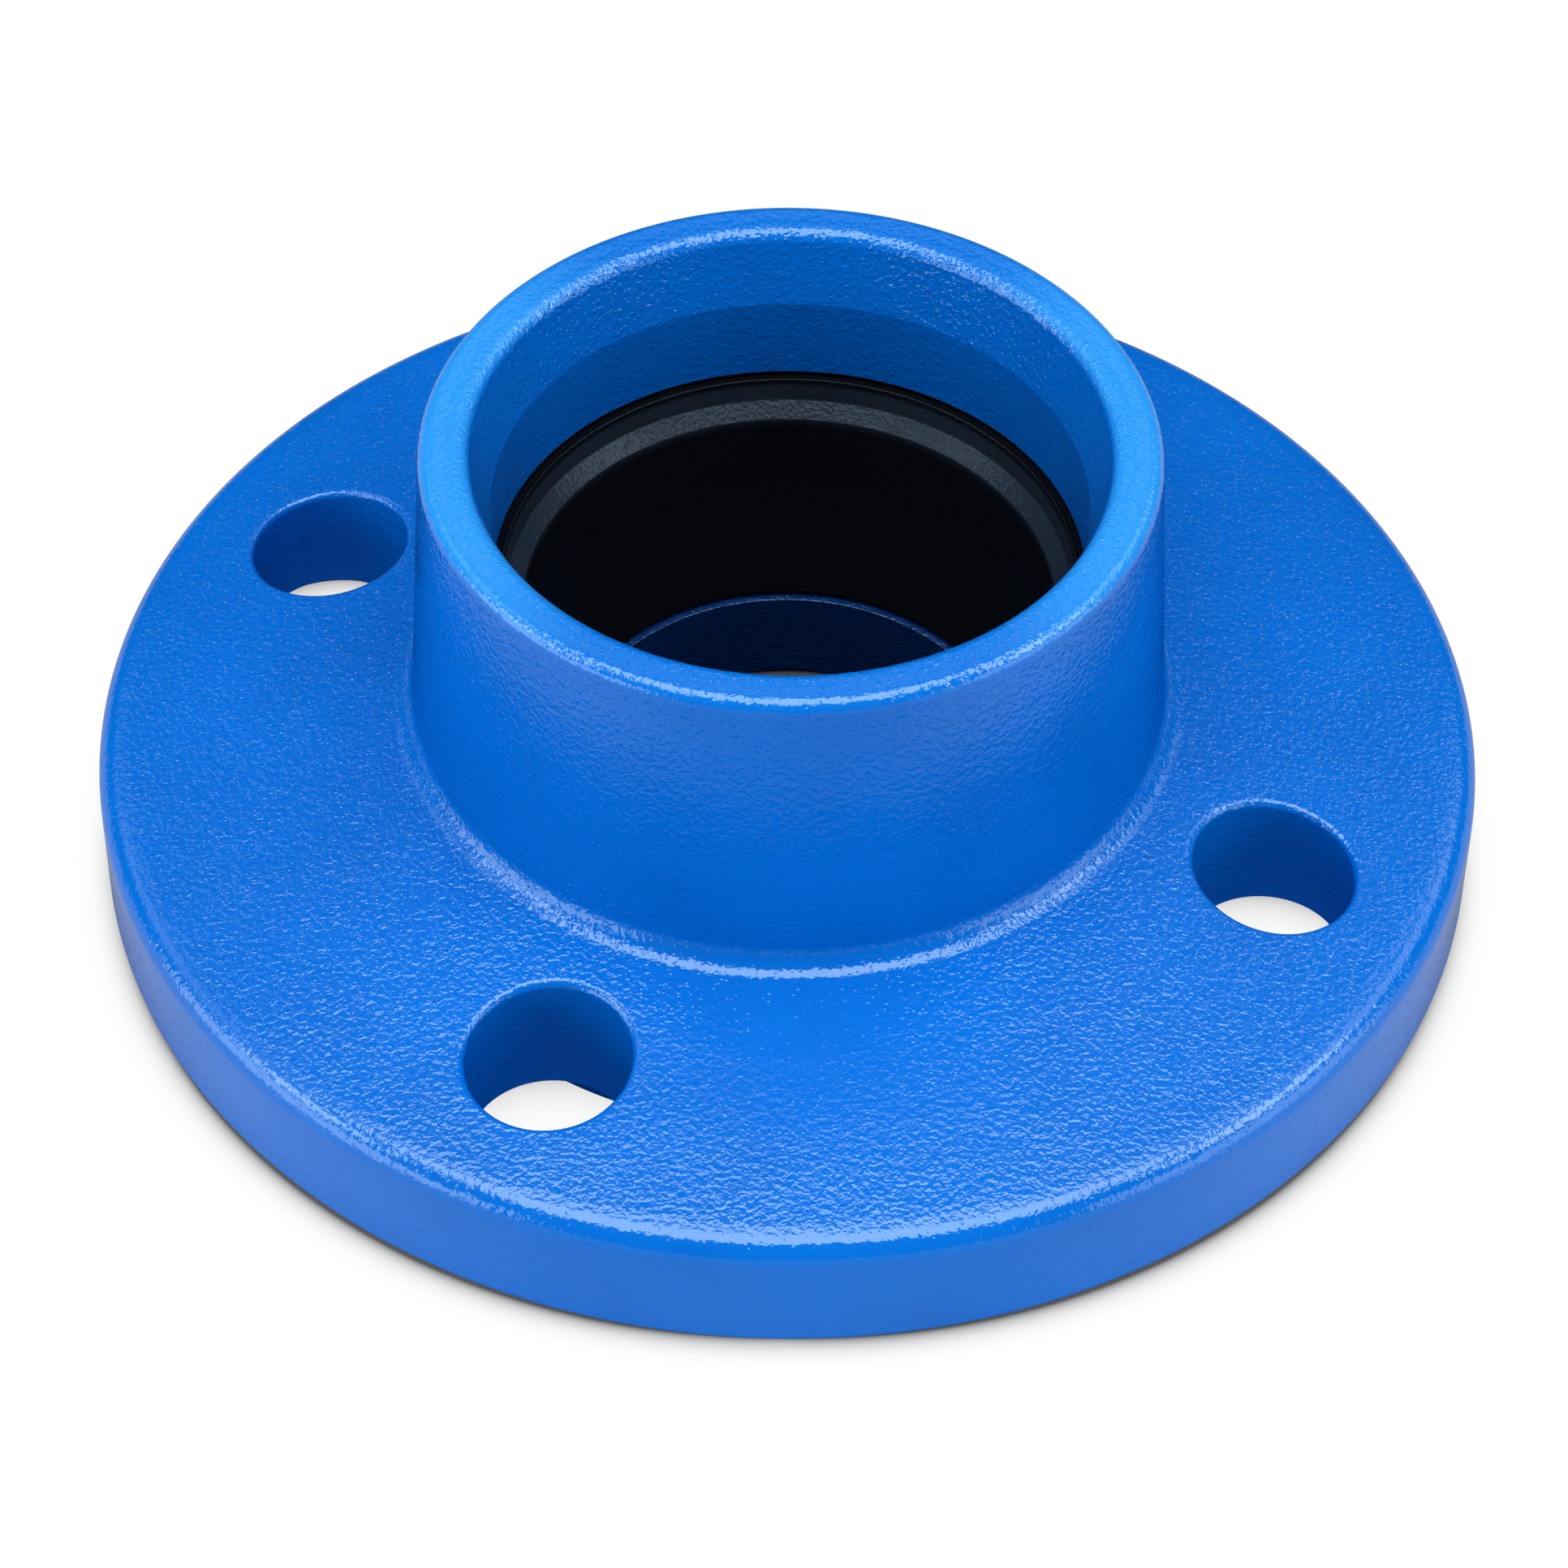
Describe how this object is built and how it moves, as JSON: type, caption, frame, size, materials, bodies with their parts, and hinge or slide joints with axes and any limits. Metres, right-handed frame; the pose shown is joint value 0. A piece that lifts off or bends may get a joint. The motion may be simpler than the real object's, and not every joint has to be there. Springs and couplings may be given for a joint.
{
  "type": "flange adapter",
  "caption": "Round drilled flange with a short push-in pipe socket on its back and a rubber lip seal inside the socket.",
  "frame": {"origin": "centre of the raised sealing face, on the axis of the socket; the flange lies on this face", "axes": "+Z along the socket's axis, out of the socket's mouth; +X and +Y in the sealing face, with the four bolt holes at 65, 155, 245 and 335 degrees from +X"},
  "size_m": [0.165, 0.165, 0.063],
  "materials": {
    "flange_coating": "gloss",
    "seal_rubber": "satin"
  },
  "bodies": {
    "root": {"flange_body": "flange_coating", "pipe_seal": "seal_rubber"}
  },
  "joints": []
}
